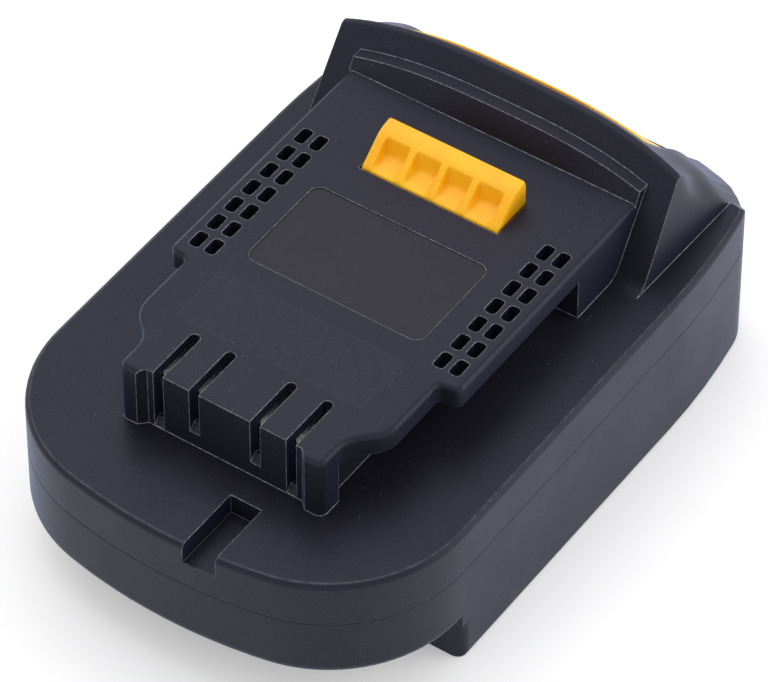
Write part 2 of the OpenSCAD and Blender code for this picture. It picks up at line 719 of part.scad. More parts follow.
// Middle of the spring's wire at a share of its height; the ends run level over one wire diameter.
spring_r = (spring_d - spring_wire) / 2;
spring_level = spring_wire / (2 * PI * spring_r * spring_turns);
function spring_point(t) =
  let (a = 360 * spring_turns * t, rise = min(max((t - spring_level) / (1 - 2 * spring_level), 0), 1))
  [spring_r * cos(a), spring_r * sin(a), spring_wire / 2 + (spring_len - spring_wire) * rise];
spring_line = [for (i = [0:spring_turns * 8]) spring_point(i / (spring_turns * 8))];
spring_self_gap = min([for (i = [0:len(spring_line) - 5], j = [i + 4:len(spring_line) - 1])
  norm(spring_line[i] - spring_line[j])]) - spring_wire;
echo(spring_self_gap = spring_self_gap);

// One unbroken curl of wire, 8 rings of 6 sides a turn.
module latch_spring(x) {
  n = len(spring_line) - 1;
  points = [for (i = [0:n], k = [0:5]) let (a = 45 * i, q = spring_r + spring_wire / 2 * cos(60 * k))
    [q * cos(a), q * sin(a), spring_line[i].z + spring_wire / 2 * sin(60 * k)]];
  sides = [for (i = [0:n - 1], k = [0:5]) let (a = i * 6 + k, b = i * 6 + (k + 1) % 6)
    each [[a, b, b + 6], [a, b + 6, a + 6]]];
  ends = [for (k = [1:4]) each [[0, k + 1, k], [n * 6, n * 6 + k, n * 6 + k + 1]]];
  color([0.75, 0.76, 0.78]) place() translate([x, spring_y, floor_z]) polyhedron(points, concat(sides, ends));
}

module latch_spring_left() {
  latch_spring(-spring_x);
}

module latch_spring_right() {
  latch_spring(spring_x);
}

module label_panel() {
  color([0.1, 0.1, 0.11]) place() translate([0, 0, plate_h - label_depth])
    linear_extrude(label_t) label_plan(0);
}

module fork_places() {
  for (x = [-outer_slot_x, -inner_slot_x, inner_slot_x, outer_slot_x]) translate([x, 0, 0]) children();
}

module circuit_board() {
  color([0.05, 0.3, 0.17]) place() difference() {
    block(-board_w / 2, board_w / 2, board_y, board_y + board_len, board_z, board_top);
    for (x = [-stand_x, stand_x]) translate([x, stand_y[1], board_z - 1]) cylinder(r = 1.6, h = board_t + 2);
    fork_places() pins(slip);
  }
}

module pins(grow) {
  for (y = [fork_y + 1.5, fork_y + fork_l - 3])
    block(-metal_t / 2 - grow, metal_t / 2 + grow, y - grow, y + 1.5 + grow, board_z - 0.8, base_seat + eps);
}

module contact_base() {
  color([0.85, 0.84, 0.8]) place() difference() {
    block(-outer_slot_x - 3.6, outer_slot_x + 3.6, fork_y - 1, fork_y + fork_l + 1.4, board_top, base_top);
    fork_places() {
      block(-fork_room / 2, fork_room / 2, fork_y - slip, fork_y + fork_l + slip, base_seat, 0);
      pins(slip);
    }
  }
}

// Spring-metal fork: two leaves that pinch, a bridge under them and two pins through the board.
module fork(x) {
  out = fork_room / 2 - 0.3;
  top = skin_z - 0.5;
  leaf = [[out, base_seat], [out, 3], [0.4 + metal_t, top - 3], [1.3 + metal_t, top], [1.3, top],
    [0.4, top - 3], [out - metal_t, 3], [out - metal_t, base_seat + metal_t]];
  place() translate([x, 0, 0]) {
    along(fork_y, fork_y + fork_l) polygon(concat(leaf, [for (i = [7:-1:0]) [-leaf[i].x, leaf[i].y]]));
    pins(0);
  }
}

module fork_positive() {
  color([0.8, 0.72, 0.5]) fork(-outer_slot_x);
}

module fork_negative() {
  color([0.8, 0.72, 0.5]) fork(outer_slot_x);
}

module fork_signal_left() {
  color([0.8, 0.72, 0.5]) fork(-inner_slot_x);
}

module fork_signal_right() {
  color([0.8, 0.72, 0.5]) fork(inner_slot_x);
}

module terminal_holder() {
  color([0.12, 0.12, 0.13]) place() difference() {
    union() {
      block(-holder_half, holder_half, holder_y0, holder_y1, nose_floor_z, holder_top);
      block(-holder_half + 2 + slip, holder_half - 2 - slip, holder_y1 - 1, nose_rear,
        nose_floor_z, holder_top);
    }
    for (x = [-power_x, -signal_x, signal_x, power_x])
      block(x - metal_t / 2 - slip, x + metal_t / 2 + slip, holder_y0 - 1, nose_rear + 1,
        blade_z, blade_z + blade_h + slip);
  }
}

// Flat blade with a rounded nose for the battery and a narrow solder tail at the front.
module blade(x) {
  end = nose_rear + blade_reach;
  place() translate([x, 0, blade_z]) across(metal_t) polygon(rounded([[tail_y, 0.8], [holder_y0, 0.8],
    [holder_y0, 0], [end, 0], [end, blade_h], [holder_y0, blade_h], [holder_y0, 3.4], [tail_y, 3.4]],
    [0, 0, 0, 1.4, 1.4, 0, 0, 0], 4));
}

module blade_positive() {
  color([0.82, 0.8, 0.74]) blade(-power_x);
}

module blade_negative() {
  color([0.82, 0.8, 0.74]) blade(power_x);
}

module blade_signal_left() {
  color([0.82, 0.8, 0.74]) blade(-signal_x);
}

module blade_signal_right() {
  color([0.82, 0.8, 0.74]) blade(signal_x);
}

// Insulated wire from the front edge of a blade's tail up to the underside of the board.
module wire(x, d) {
  a = [tail_y, blade_z + 2.1];
  b = [wire_y, board_z];
  pull = [[-3.2 * d, 0], [0, -4]];
  path = [for (i = [0:18]) let (t = i / 18, s = 1 - t)
    s * s * s * a + 3 * s * s * t * (a + pull[0]) + 3 * s * t * t * (b + pull[1]) + t * t * t * b];
  way = [for (i = [0:18]) let (w = path[min(i + 1, 18)] - path[max(i - 1, 0)])
    i == 0 ? [-1, 0] : i == 18 ? [0, 1] : w / norm(w)];
  points = [for (i = [0:18], k = [0:9]) let (c = cos(36 * k) * d / 2, s = sin(36 * k) * d / 2)
    [x + c, path[i].x - way[i].y * s, path[i].y + way[i].x * s]];
  sides = [for (i = [0:17], k = [0:9]) let (a = i * 10 + k, b = i * 10 + (k + 1) % 10) [a, b, b + 10, a + 10]];
  place() polyhedron(points, concat([[for (k = [9:-1:0]) k]], sides, [[for (k = [0:9]) 180 + k]]));
}

module wire_positive() {
  color([0.7, 0.06, 0.05]) wire(-power_x, power_wire);
}

module wire_negative() {
  color([0.06, 0.06, 0.07]) wire(power_x, power_wire);
}

module wire_signal_left() {
  color([0.85, 0.8, 0.2]) wire(-signal_x, signal_wire);
}

module wire_signal_right() {
  color([0.85, 0.85, 0.85]) wire(signal_x, signal_wire);
}

// Pan-head screw with a cross recess, head down.
module screw(d, head, head_h, len) {
  difference() {
    union() {
      translate([0, 0, -head_h]) cylinder(d = head, h = head_h);
      cylinder(d = d, h = len - d / 2);
      translate([0, 0, len - d / 2]) cylinder(d1 = d, d2 = d / 3, h = d / 2);
    }
    for (a = [0, 90]) rotate([0, 0, a]) block(-head * 0.3, head * 0.3, -0.4, 0.4, -head_h - 1, -head_h + 1.1);
  }
}

module housing_screws() {
  color([0.62, 0.62, 0.64]) place() screw_places() translate([0, 0, seat_z])
    screw(screw_d, screw_head, 2, screw_top - seat_z);
}

module board_screws() {
  color([0.62, 0.62, 0.64]) place() for (x = [-stand_x, stand_x]) translate([x, stand_y[1], board_top])
    mirror([0, 0, 1]) screw(2, 4, 1.4, board_t + board_lift - 0.8);
}

module regulator_chip() {
  color([0.08, 0.08, 0.09]) place()
    translate([0, chip_y, board_top]) block(-chip_w / 2, chip_w / 2, -chip_l / 2, chip_l / 2, 0.2, 2.2);
}

// Two rows of leads along the chip's edges.
module chip_leads() {
  color([0.75, 0.75, 0.77]) place() for (i = [-1.5:1.5], s = [-1, 1])
    translate([i * chip_w * 0.24, chip_y + s * (chip_l / 2 + 1), board_top]) block(-0.4, 0.4, -1, 1, 0, 0.6);
}

module capacitor() {
  can = [[0, 0], [capacitor_r, 0], [capacitor_r, capacitor_h], [0, capacitor_h]];
  color([0.1, 0.12, 0.2]) place() translate([coil_x, coil_y, board_top])
    rotate_extrude() polygon(rounded(can, [0, 0.4, 0.5, 0], 3));
}

// Ferrite bobbin: two flanges on a core.
module coil_core() {
  core = coil_r * 0.52;
  color([0.2, 0.2, 0.21]) place() translate([-coil_x, coil_y, board_top]) rotate_extrude()
    polygon([[0, 0], [coil_r, 0], [coil_r, 1.2], [core, 1.2], [core, 5.4], [coil_r, 5.4], [coil_r, 6.6],
      [0, 6.6]]);
}

// Copper winding between the flanges, with the ripple of its turns.
module coil_winding() {
  core = coil_r * 0.52 + 0.35;
  waves = [for (i = [0:16]) [coil_r * 0.86 + 0.25 * (i % 2), 1.35 + 3.9 * i / 16]];
  color([0.72, 0.36, 0.16]) place() translate([-coil_x, coil_y, board_top])
    rotate_extrude() polygon(concat([[core, 1.35]], waves, [[core, 5.25]]));
}

module fuse() {
  color([0.85, 0.83, 0.75]) place() translate([-coil_x - 1, fuse_y, board_top]) block(-4, 4, -1.5, 1.5, 0, 2);
}

module resistors() {
  color([0.2, 0.2, 0.22]) place() for (i = [-1.5:1.5], s = [-1.5, 1.5])
    translate([coil_x - 0.5 + i * 3, fuse_y + s, board_top]) block(-0.8, 0.8, -0.5, 0.5, 0, 0.6);
}

module catch_plate() {
  color([0.7, 0.71, 0.73]) place()
    block(-catch_w / 2 + slip, catch_w / 2 - slip, catch_y0 + catch_l - catch_t, catch_y0 + catch_l,
      ceiling_z, catch_top);
}

upper_housing();
lower_housing();
release_latch();
latch_spring_left();
latch_spring_right();
label_panel();
circuit_board();
contact_base();
fork_positive();
fork_negative();
fork_signal_left();
fork_signal_right();
terminal_holder();
blade_positive();
blade_negative();
blade_signal_left();
blade_signal_right();
wire_positive();
wire_negative();
wire_signal_left();
wire_signal_right();
housing_screws();
board_screws();
regulator_chip();
chip_leads();
capacitor();
coil_core();
coil_winding();
fuse();
resistors();
catch_plate();
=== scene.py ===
# A tool battery adapter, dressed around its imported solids. The sections follow the bench: the lower housing
# with its contacts first, then the board and the springs, the upper housing over all, and the latch last.
import bpy
import bmesh
import math
import numpy as np
from mathutils import Matrix, Vector


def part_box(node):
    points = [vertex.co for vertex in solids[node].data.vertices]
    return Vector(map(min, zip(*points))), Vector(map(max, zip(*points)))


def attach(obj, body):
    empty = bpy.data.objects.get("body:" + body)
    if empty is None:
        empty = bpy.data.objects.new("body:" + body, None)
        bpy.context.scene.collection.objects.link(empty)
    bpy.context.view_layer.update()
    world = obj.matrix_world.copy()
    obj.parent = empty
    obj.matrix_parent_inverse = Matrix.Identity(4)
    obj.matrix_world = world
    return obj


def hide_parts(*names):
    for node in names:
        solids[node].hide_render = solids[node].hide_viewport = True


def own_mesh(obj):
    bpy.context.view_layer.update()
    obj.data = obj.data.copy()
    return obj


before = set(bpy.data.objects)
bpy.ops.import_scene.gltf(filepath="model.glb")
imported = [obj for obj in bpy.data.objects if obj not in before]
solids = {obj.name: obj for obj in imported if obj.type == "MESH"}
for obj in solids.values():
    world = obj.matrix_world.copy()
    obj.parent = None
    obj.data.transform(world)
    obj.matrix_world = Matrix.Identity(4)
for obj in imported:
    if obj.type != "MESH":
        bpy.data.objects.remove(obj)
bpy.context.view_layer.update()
MM = 0.001

# Camera and studio. A long lens looks down on the terminal end from its right. A white tent lights the
# adapter from all sides, with one soft lamp overhead and one at the right for a little direction.
VIEW_TURN, VIEW_RISE = math.radians(34.70), math.radians(45.79)
VIEW_SHIFT_RIGHT, VIEW_SHIFT_UP, VIEW_DISTANCE = 26.33, 19.98, 995.94
DRAWING_ORIGIN = Vector((0.0, -43.25, 31.5))
FOCAL_PIXELS, PICTURE_WIDTH = 6000.0, 768
view_right = Vector((math.cos(VIEW_TURN), math.sin(VIEW_TURN), 0.0))
view_back = Vector((math.sin(VIEW_TURN) * math.cos(VIEW_RISE), -math.cos(VIEW_TURN) * math.cos(VIEW_RISE),
                    math.sin(VIEW_RISE)))
view_up = view_back.cross(view_right)
lens = bpy.data.cameras.new("lens")
lens.sensor_width = 36.0
lens.lens = FOCAL_PIXELS / PICTURE_WIDTH * lens.sensor_width
lens.clip_end = 20.0
camera = bpy.data.objects.new("camera", lens)
camera.matrix_world = Matrix((view_right, view_up, view_back)).transposed().to_4x4()
camera.location = MM * (DRAWING_ORIGIN + VIEW_SHIFT_RIGHT * view_right + VIEW_SHIFT_UP * view_up
                        + VIEW_DISTANCE * view_back)
bpy.context.scene.collection.objects.link(camera)
bpy.context.scene.camera = camera
bpy.context.scene.view_settings.view_transform = "Standard"


def soft_box(name, place, aim, size, watts):
    """A square area light at one point that looks at another."""
    light = bpy.data.lights.new(name, "AREA")
    light.size, light.energy = size, watts
    box = bpy.data.objects.new(name, light)
    box.location = place
    box.rotation_euler = (Vector(aim) - Vector(place)).to_track_quat("-Z", "Y").to_euler()
    bpy.context.scene.collection.objects.link(box)


ADAPTER_MIDDLE = (0.0, 0.0, 0.03)
soft_box("light_overhead", (-0.35, 0.15, 0.9), ADAPTER_MIDDLE, size=0.8, watts=2.6)
soft_box("light_right", (0.9, 0.55, 0.45), ADAPTER_MIDDLE, size=0.6, watts=3.4)


def put(tree, kind, **given):
    """Adds a shader node. A given word is a setting of the node, or a socket's name, to fill or to link."""
    node = tree.nodes.new("ShaderNode" + kind)
    for word, value in given.items():
        if hasattr(node, word):
            setattr(node, word, value)
            continue
        socket = node.inputs[word.replace("_", " ")]
        if isinstance(value, bpy.types.NodeSocket):
            tree.links.new(value, socket)
        else:
            socket.default_value = value
    return node


def work(tree, operation, *terms, clamp=False):
    """A sum or other operation on numbers; each term may be a socket or a number."""
    node = put(tree, "Math", operation=operation, use_clamp=clamp)
    for socket, term in zip(node.inputs, terms):
        if isinstance(term, bpy.types.NodeSocket):
            tree.links.new(term, socket)
        else:
            socket.default_value = term
    return node.outputs[0]


def seen_directly(tree):
    """1 for a ray from the lens, a reflection or glass, and 0 for the light that falls on things."""
    path = put(tree, "LightPath").outputs
    sight = work(tree, "ADD", path["Is Camera Ray"], path["Is Glossy Ray"], clamp=True)
    return work(tree, "ADD", sight, path["Is Transmission Ray"], clamp=True)


def spread(tree, value, low, high, start=0.3, end=0.7):
    """A value taken from one range to another, clamped."""
    node = put(tree, "MapRange", Value=value, From_Min=start, From_Max=end, To_Min=low, To_Max=high)
    return node.outputs[0]


TENT_LIGHT = 0.95
world = bpy.data.worlds.new("tent")
world.use_nodes = True
tent = world.node_tree
tent_shader = tent.nodes["Background"]
tent_shader.inputs["Color"].default_value = (1.0, 1.0, 1.0, 1.0)
tent_strength = spread(tent, seen_directly(tent), TENT_LIGHT, 1.0, 0.0, 1.0)
tent.links.new(tent_strength, tent_shader.inputs["Strength"])
bpy.context.scene.world = world

FLOOR_HALF = 3.0
FLOOR_DROP = 0.2 * MM
FLOOR_GLOW = 0.30
floor_mesh = bpy.data.meshes.new("floor")
floor_corners = [(x * FLOOR_HALF, y * FLOOR_HALF, -FLOOR_DROP)
                 for x, y in ((-1, -1), (1, -1), (1, 1), (-1, 1))]
floor_mesh.from_pydata(floor_corners, [], [(0, 1, 2, 3)])
floor = bpy.data.objects.new("floor", floor_mesh)
bpy.context.scene.collection.objects.link(floor)
floor_paint = bpy.data.materials.new("floor_paint")
floor_paint.use_nodes = True
floor_shader = floor_paint.node_tree.nodes["Principled BSDF"]
floor_shader.inputs["Base Color"].default_value = (0.74, 0.74, 0.75, 1.0)
floor_shader.inputs["Roughness"].default_value = 0.9
floor_shader.inputs["Specular IOR Level"].default_value = 0.0
floor_shader.inputs["Emission Color"].default_value = (1.0, 1.0, 1.0, 1.0)
floor_tree = floor_paint.node_tree
floor_glow = spread(floor_tree, seen_directly(floor_tree), 0.0, FLOOR_GLOW, 0.0, 1.0)
floor_tree.links.new(floor_glow, floor_shader.inputs["Emission Strength"])
floor_mesh.materials.append(floor_paint)


# Lower housing. Black moulded nylon: the bowed nose, the floor, both side skirts and the rails that the
# battery slides on. Four screws from the bay draw it against the upper housing.
def shade_smooth(shape, crease):
    """Smooth shading on all faces of a shape, creased at each edge that turns by more than an angle."""
    for face in shape.faces:
        face.smooth = True
    for edge in shape.edges:
        edge.smooth = edge.is_manifold and edge.calc_face_angle(0.0) < math.radians(crease)


def merged_copy(node, name, crease, cut_above=None):
    """The node's own triangles with their corners merged, shaded smooth up to a crease angle in degrees.
    Where cut_above gives a place along Y and a height, what stands higher in front of it is cut away."""
    mesh = bpy.data.meshes.new(name)
    shape = bmesh.new()
    shape.from_mesh(solids[node].data)
    bmesh.ops.remove_doubles(shape, verts=shape.verts, dist=1e-7)
    if cut_above:
        front, height = cut_above
        everything = shape.verts[:] + shape.edges[:] + shape.faces[:]
        bmesh.ops.bisect_plane(shape, geom=everything, plane_co=(0, 0, height), plane_no=(0, 0, 1))
        above = [vert for vert in shape.verts if vert.co.z > height + 0.01 * MM and vert.co.y < front]
        bmesh.ops.delete(shape, geom=above, context="VERTS")
        bmesh.ops.holes_fill(shape, edges=[edge for edge in shape.edges if edge.is_boundary])
    shade_smooth(shape, crease)
    shape.to_mesh(mesh)
    shape.free()
    piece = bpy.data.objects.new(name, mesh)
    bpy.context.scene.collection.objects.link(piece)
    even = piece.modifiers.new("even_shading", "WEIGHTED_NORMAL")
    even.keep_sharp, even.weight = True, 100
    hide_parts(node)
    return piece


def fit(piece, material, body="housing"):
    """Gives a piece its finish and the body that carries it."""
    piece.data.materials.append(material)
    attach(piece, body)


def paint(name):
    """A new material with its node tree, its shader and a source of the piece's own coordinates."""
    material = bpy.data.materials.new(name)
    material.use_nodes = True
    tree = material.node_tree
    return material, tree, tree.nodes["Principled BSDF"], put(tree, "TexCoord").outputs["Object"]


def blend(tree, share, low, high):
    """Colour between two others; each may be a socket or a colour."""
    node = put(tree, "Mix", data_type="RGBA")
    for socket, value in ((node.inputs[0], share), (node.inputs[6], low), (node.inputs[7], high)):
        if isinstance(value, bpy.types.NodeSocket):
            tree.links.new(value, socket)
        else:
            socket.default_value = value
    return node.outputs[2]


def shade(colour, share=1.0):
    """A colour made lighter or darker, with full cover."""
    return tuple(min(1.0, c * share) for c in colour) + (1.0,)


def noise(tree, place, grain, detail=3.0, rough=0.6):
    """Even noise whose spots are about grain millimetres across."""
    scale = 1.0 / (grain * MM)
    return put(tree, "TexNoise", Vector=place, Scale=scale, Detail=detail, Roughness=rough).outputs[0]


def moulded(name, colour, roughness, grain, depth, edge=0.35, speckle=0.2):
    """Moulded plastic: the grain of the mould's face, a cloudy tone, and edges a little rounded. Grain, depth
    and edge are in millimetres; speckle is how far the grain's tips are paler."""
    material, tree, shader, place = paint(name)
    fine = noise(tree, place, grain)
    cloud = noise(tree, place, 14.0, 5.0)
    tone = blend(tree, spread(tree, cloud, 0.0, 1.0), shade(colour, 0.88), shade(colour, 1.12))
    tips = spread(tree, fine, 0.0, speckle, 0.5, 0.75)
    speckled = blend(tree, tips, tone, shade(colour, 1.0 + 4.0 * speckle))
    tree.links.new(speckled, shader.inputs["Base Color"])
    tree.links.new(spread(tree, cloud, roughness - 0.04, roughness + 0.05), shader.inputs["Roughness"])
    rolled = put(tree, "Bevel", samples=6, Radius=edge * MM).outputs[0]
    bump = put(tree, "Bump", Strength=0.5, Distance=depth * MM, Height=fine, Normal=rolled)
    tree.links.new(bump.outputs[0], shader.inputs["Normal"])
    return material


def lay_over(material, share, colour):
    """Lays a colour over what the shader already has, by a share from 0 to 1."""
    tree = material.node_tree
    base = tree.nodes["Principled BSDF"].inputs["Base Color"]
    tree.links.new(blend(tree, share, base.links[0].from_socket, colour), base)


def wear_and_edge_highlight(material, colour, width, strength):
    """Pale lines at edges, convex and hollow alike, partly rubbed paleness and partly painted highlights: how
    far the normal, rounded over width, leaves the face's own normal, broken up by grains and fainter below
    the deck."""
    tree = material.node_tree
    place = tree.nodes["Texture Coordinate"].outputs["Object"]
    turned = put(tree, "VectorMath", operation="DOT_PRODUCT")
    tree.links.new(put(tree, "Bevel", samples=6, Radius=width * MM).outputs[0], turned.inputs[0])
    tree.links.new(put(tree, "NewGeometry").outputs["Normal"], turned.inputs[1])
    line = spread(tree, turned.outputs["Value"], strength, 0.0, 0.93, 0.992)
    grains = spread(tree, noise(tree, place, 0.7, 4.0, 0.7), 0.25, 1.0, 0.38, 0.6)
    height = put(tree, "SeparateXYZ", Vector=place).outputs["Z"]
    upward = spread(tree, height, 0.15, 1.0, 26.0 * MM, 31.0 * MM)
    # Painted highlight together with wear: the pale edge lines stand partly for light caught on the edges.
    rubbed_and_highlit = work(tree, "MULTIPLY", work(tree, "MULTIPLY", line, grains), upward)
    lay_over(material, rubbed_and_highlit, shade(colour))


def dust(material, colour, apart, size):
    """Sparse pale specks of about size millimetres, in some of the cells of a grid whose pitch is apart."""
    tree = material.node_tree
    place = tree.nodes["Texture Coordinate"].outputs["Object"]
    cells = put(tree, "TexVoronoi", Vector=place, Scale=1.0 / (apart * MM))
    spot = spread(tree, cells.outputs["Distance"], 1.0, 0.0, 0.3 * size / apart, 0.6 * size / apart)
    lot = put(tree, "SeparateColor", Color=cells.outputs["Color"]).outputs[0]
    picked = spread(tree, lot, 0.0, 0.45, 0.6, 0.9)
    lay_over(material, work(tree, "MULTIPLY", spot, picked), shade(colour))


BLACK_NYLON = (0.0070, 0.0064, 0.0100)
NYLON_GLANCE, NYLON_TINT = 0.33, (0.68, 0.71, 1.0, 1.0)
NYLON_BLOOM, BLOOM_TINT, BLOOM_SPREAD = 0.25, (0.22, 0.34, 1.0, 1.0), 0.3
# The pale colour of rubbed edges, also used for the painted highlights along edges and the deck's rim.
RUBBED_AND_HIGHLIGHT_NYLON, NYLON_DUST = (0.42, 0.42, 0.46), (0.36, 0.36, 0.40)
EDGE_ROUND, SEAM_ROUND = 0.35 * MM, 0.05 * MM
SEAM_Z = 22.0 * MM


def black_nylon(name):
    """The housings' plastic: near black, bluish at flat angles, with pale lines at its edges, partly rubbed
    and partly painted highlights, and a little dust. Its edges are less round at the seam, where the rims of
    both housings lie close together."""
    material = moulded(name, BLACK_NYLON, roughness=0.42, grain=0.24, depth=0.035, speckle=0.7)
    tree = material.node_tree
    shader = tree.nodes["Principled BSDF"]
    shader.inputs["Specular IOR Level"].default_value = NYLON_GLANCE
    shader.inputs["Specular Tint"].default_value = NYLON_TINT
    shader.inputs["Sheen Weight"].default_value = NYLON_BLOOM
    shader.inputs["Sheen Tint"].default_value = BLOOM_TINT
    shader.inputs["Sheen Roughness"].default_value = BLOOM_SPREAD
    place = tree.nodes["Texture Coordinate"].outputs["Object"]
    height = put(tree, "SeparateXYZ", Vector=place).outputs["Z"]
    from_seam = work(tree, "ABSOLUTE", work(tree, "SUBTRACT", height, SEAM_Z))
    rounding = spread(tree, from_seam, SEAM_ROUND, EDGE_ROUND, 0.3 * MM, 1.2 * MM)
    tree.links.new(rounding, tree.nodes["Bevel"].inputs["Radius"])
    dust(material, NYLON_DUST, apart=1.5, size=0.18)
    # Pale edge lines: partly wear, partly painted highlights.
    wear_and_edge_highlight(material, RUBBED_AND_HIGHLIGHT_NYLON, width=0.2, strength=1.0)
    return material


def points_of(mesh):
    """The places of a mesh's points, one row each."""
    flat = np.empty(len(mesh.vertices) * 3)
    mesh.vertices.foreach_get("co", flat)
    return flat.reshape(-1, 3)


# The plain wall begins at SEAM_WALL above and below the seam. The rim reaches inward by less than SEAM_NEAR.
SEAM_WALL, SEAM_NEAR, SEAM_FILL, RING_SLACK = 0.31 * MM, 0.4 * MM, 0.75, 0.01 * MM


def shallow_seam(piece, crease):
    """Brings the rounded rim at the seam outward, so that the joint is a fine line. Each point of the rim
    goes a share of the way to the nearest point, in plan, of the ring where the plain wall begins."""
    mesh = piece.data
    place = points_of(mesh)
    from_seam = np.abs(place[:, 2] - SEAM_Z)
    wall = place[np.abs(from_seam - SEAM_WALL) < RING_SLACK, :2]
    rim = np.flatnonzero(from_seam < SEAM_WALL - RING_SLACK)
    apart = np.linalg.norm(place[rim, None, :2] - wall[None], axis=2)
    near = apart.min(axis=1) < SEAM_NEAR
    rim, nearest = rim[near], wall[apart.argmin(axis=1)[near]]
    place[rim, :2] += SEAM_FILL * (nearest - place[rim, :2])
    mesh.vertices.foreach_set("co", place.ravel())
    shape = bmesh.new()
    shape.from_mesh(mesh)
    shade_smooth(shape, crease)
    shape.to_mesh(mesh)
    shape.free()


LOWER_CREASE = 24.0
lower_shell = merged_copy("lower_housing", "lower_shell", LOWER_CREASE)
shallow_seam(lower_shell, LOWER_CREASE)
fit(lower_shell, black_nylon("lower_nylon"))


# Terminal holder and blades. Four tinned copper blades stand in a black nylon block in the nose and point
# to the rear into the bay; slots in the block hold them by their shoulders.
def brushed(name, colour, roughness, stretch):
    """Metal with fine drawn lines along one axis and a little dulled patchiness."""
    material, tree, shader, place = paint(name)
    shader.inputs["Metallic"].default_value = 1.0
    drawn = put(tree, "Mapping", Vector=place, Scale=stretch).outputs[0]
    lines = put(tree, "TexNoise", Vector=drawn, Scale=1.0, Detail=4.0, Roughness=0.7).outputs[0]
    dull = noise(tree, place, 4.0)
    tone = blend(tree, spread(tree, dull, 0.0, 1.0), shade(colour, 0.82), shade(colour, 1.08))
    tree.links.new(tone, shader.inputs["Base Color"])
    tree.links.new(spread(tree, lines, roughness - 0.08, roughness + 0.1), shader.inputs["Roughness"])
    bump = put(tree, "Bump", Strength=0.25, Distance=0.01 * MM, Height=lines)
    tree.links.new(bump.outputs[0], shader.inputs["Normal"])
    return material


def dress(node, material):
    """Puts a material on a solid that stays as it is."""
    solids[node].data.materials.clear()
    solids[node].data.materials.append(material)


tinned_metal = brushed("tinned_metal", (0.84, 0.83, 0.80), 0.22, (9000, 600, 900))
holder_nylon = moulded("holder_nylon", (0.011, 0.011, 0.012), roughness=0.5, grain=0.3, depth=0.02)
holder_nylon.node_tree.nodes["Principled BSDF"].inputs["Specular IOR Level"].default_value = 0.4
dress("terminal_holder", holder_nylon)
for line in ("positive", "negative", "signal_left", "signal_right"):
    dress("blade_" + line, tinned_metal)

# Wires. Stranded copper in soft coloured insulation, soldered to the tails of the blades at one end and to
# the board at the other; the thick pair carries the power.
INSULATION = {"positive": ("red", (0.45, 0.015, 0.012)), "negative": ("black", (0.014, 0.014, 0.015)),
              "signal_left": ("yellow", (0.62, 0.45, 0.03)), "signal_right": ("white", (0.6, 0.6, 0.58))}
WIRE_CREASE = 60.0
for line, (tone, colour) in INSULATION.items():
    wire = merged_copy("wire_" + line, "insulated_wire_" + line, WIRE_CREASE)
    rounder = wire.modifiers.new("rounder", "SUBSURF")
    rounder.levels = rounder.render_levels = 1
    fit(wire, moulded("insulation_" + tone, colour, 0.42, 0.4, 0.01))

# Circuit board and contacts. Green laminate on two posts, an ivory bar that holds four spring forks upright,
# and the few components that turn one battery's voltage into the other's.
solder_mask = moulded("solder_mask", (0.010, 0.105, 0.045), 0.32, 0.5, 0.008, 0.1)
mask_tree = solder_mask.node_tree
mask_place = mask_tree.nodes["Texture Coordinate"].outputs["Object"]
track_rows = put(mask_tree, "TexBrick", Vector=mask_place, Scale=1.0, Mortar_Size=0.6 * MM,
                 Brick_Width=9.0 * MM, Row_Height=3.4 * MM, Bias=0.0).outputs["Fac"]
lay_over(solder_mask, track_rows, shade((0.025, 0.19, 0.085)))
dress("circuit_board", solder_mask)
dress("contact_base", moulded("base_nylon", (0.62, 0.58, 0.48), 0.55, 0.3, 0.02))
for line in ("positive", "negative", "signal_left", "signal_right"):
    dress("fork_" + line, tinned_metal)
dress("chip_leads", tinned_metal)
dress("regulator_chip", moulded("chip_resin", (0.012, 0.012, 0.013), 0.6, 0.15, 0.02))
dress("resistors", moulded("resistor_glaze", (0.015, 0.015, 0.018), 0.4, 0.15, 0.01))
dress("fuse", moulded("fuse_ceramic", (0.62, 0.60, 0.52), 0.4, 0.25, 0.01))
dress("capacitor", moulded("capacitor_sleeve", (0.015, 0.02, 0.07), 0.25, 0.4, 0.01))
dress("coil_core", moulded("ferrite", (0.05, 0.05, 0.053), 0.65, 0.2, 0.03))


# Coil winding. Enamelled copper wire in two layers on the ferrite drum, up on the inner one and down on
# the outer one, each turn beside the last.
def tube(name, line, radius, aside, sides=12):
    """A round profile carried along a line. Ring i stands at line[i], square to the line there; its axes
    are the line's direction crossed with the vector aside, and the direction crossed with that again."""
    ahead = np.gradient(line, axis=0)
    ahead /= np.linalg.norm(ahead, axis=1, keepdims=True)
    across = np.cross(ahead, aside)
    across /= np.linalg.norm(across, axis=1, keepdims=True)
    over = np.cross(ahead, across)
    turn = np.linspace(0.0, 2.0 * np.pi, sides, endpoint=False)[:, None]
    rings = line[:, None] + radius * (np.cos(turn) * across[:, None] + np.sin(turn) * over[:, None])
    at = np.arange(rings.shape[0] * sides).reshape(-1, sides)
    beside = np.roll(at, -1, axis=1)
    walls = np.stack([at[:-1], beside[:-1], beside[1:], at[1:]], axis=-1).reshape(-1, 4)
    mesh = bpy.data.meshes.new(name)
    ends = [at[0, ::-1].tolist(), at[-1].tolist()]
    mesh.from_pydata(rings.reshape(-1, 3).tolist(), [], walls.tolist() + ends)
    mesh.polygons.foreach_set("use_smooth", np.arange(len(mesh.polygons)) < len(walls))
    piece = bpy.data.objects.new(name, mesh)
    bpy.context.scene.collection.objects.link(piece)
    return piece


def helix(middle, radius, turn, height):
    """Points on a screw line about an upright axis: angle in turns, at the given radius and height."""
    angle = 2.0 * np.pi * turn
    across = np.broadcast_to(radius, turn.shape)
    return np.stack([middle[0] + across * np.cos(angle), middle[1] + across * np.sin(angle),
                     np.broadcast_to(height, turn.shape)], axis=1)


